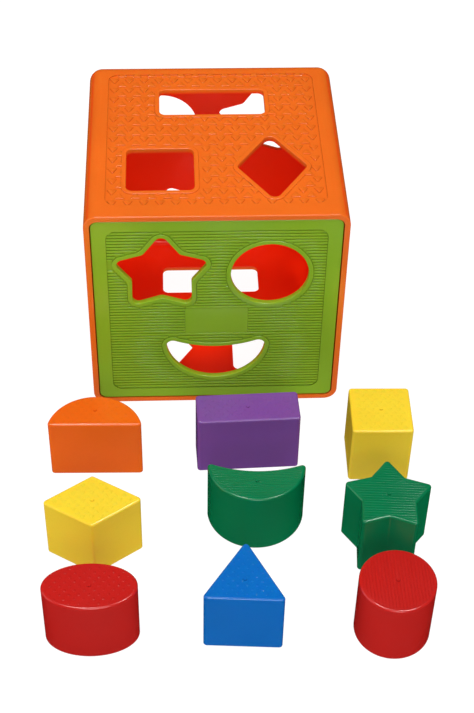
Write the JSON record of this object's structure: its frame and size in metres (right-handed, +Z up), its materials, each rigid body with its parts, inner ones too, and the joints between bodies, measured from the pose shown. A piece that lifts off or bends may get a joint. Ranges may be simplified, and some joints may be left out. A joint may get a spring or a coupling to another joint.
{
  "type": "shape sorter",
  "caption": "Cubic shape-sorting box with an inset front lid, posting holes in every face, and loose hollow blocks of different outlines standing in front of it.",
  "frame": {"origin": "centre of the box's underside, on the surface that it stands on", "axes": "+Z up, the front lid faces -Y, the loose blocks stand on the -Y side of the box, +X to the right seen from the front"},
  "size_m": [0.2185, 0.3527, 0.149],
  "materials": {
    "orange_box": "satin",
    "green_lid": "satin",
    "orange_block": "satin",
    "purple_block": "satin",
    "yellow_block": "satin",
    "green_block": "satin",
    "red_block": "satin",
    "blue_block": "satin"
  },
  "bodies": {
    "box": {"box_shell": "orange_box"},
    "lid": {"front_lid": "green_lid"},
    "arch_piece": {"arch_block": "orange_block"},
    "rectangle_piece": {"rectangle_block": "purple_block"},
    "square_piece": {"square_block": "yellow_block"},
    "rhombus_piece": {"rhombus_block": "yellow_block"},
    "crescent_piece": {"crescent_block": "green_block"},
    "star_piece": {"star_block": "green_block"},
    "ellipse_piece": {"ellipse_block": "red_block"},
    "triangle_piece": {"triangle_block": "blue_block"},
    "round_piece": {"round_block": "red_block"}
  },
  "joints": [
    {"name": "lid_pull", "type": "slide", "parent": "box", "child": "lid", "axis": [0, -1, 0], "range_m": [0, 0.03]},
    {"name": "arch_lift", "type": "slide", "parent": "box", "child": "arch_piece", "axis": [0, 0, 1], "range_m": [0, 0.16]},
    {"name": "rectangle_lift", "type": "slide", "parent": "box", "child": "rectangle_piece", "axis": [0, 0, 1], "range_m": [0, 0.16]},
    {"name": "square_lift", "type": "slide", "parent": "box", "child": "square_piece", "axis": [0, 0, 1], "range_m": [0, 0.16]},
    {"name": "rhombus_lift", "type": "slide", "parent": "box", "child": "rhombus_piece", "axis": [0, 0, 1], "range_m": [0, 0.16]},
    {"name": "crescent_lift", "type": "slide", "parent": "box", "child": "crescent_piece", "axis": [0, 0, 1], "range_m": [0, 0.16]},
    {"name": "star_lift", "type": "slide", "parent": "box", "child": "star_piece", "axis": [0, 0, 1], "range_m": [0, 0.16]},
    {"name": "ellipse_lift", "type": "slide", "parent": "box", "child": "ellipse_piece", "axis": [0, 0, 1], "range_m": [0, 0.16]},
    {"name": "triangle_lift", "type": "slide", "parent": "box", "child": "triangle_piece", "axis": [0, 0, 1], "range_m": [0, 0.16]},
    {"name": "round_lift", "type": "slide", "parent": "box", "child": "round_piece", "axis": [0, 0, 1], "range_m": [0, 0.16]}
  ]
}
